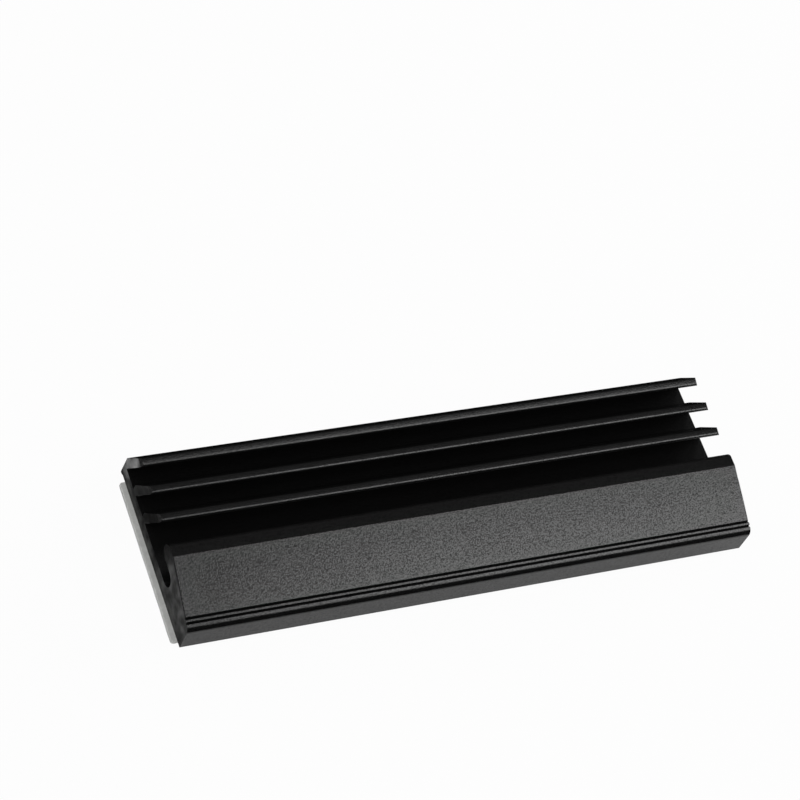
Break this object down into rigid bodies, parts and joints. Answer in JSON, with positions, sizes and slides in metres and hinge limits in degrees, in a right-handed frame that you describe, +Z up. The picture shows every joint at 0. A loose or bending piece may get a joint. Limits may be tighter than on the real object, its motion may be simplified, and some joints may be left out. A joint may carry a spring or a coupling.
{
  "type": "ssd heat sink",
  "caption": "Low black extruded aluminium heat sink with leaning fins, a slanted front block over a round channel, and a soft thermal pad under its base, to stick on a solid-state drive card.",
  "frame": {"origin": "on the surface that the pad rests on, under the middle of the part", "axes": "+X along the extrusion, +Z up, -Y towards the slanted front face, +Y towards the outer fin"},
  "size_m": [0.0714, 0.0217, 0.0066],
  "materials": {
    "black_anodised": "black anodised, fine blasted grain, satin",
    "pad_silicone": "matte pale grey filled silicone"
  },
  "bodies": {
    "root": {"heat_sink": "black_anodised", "thermal_pad": "pad_silicone"}
  },
  "joints": []
}
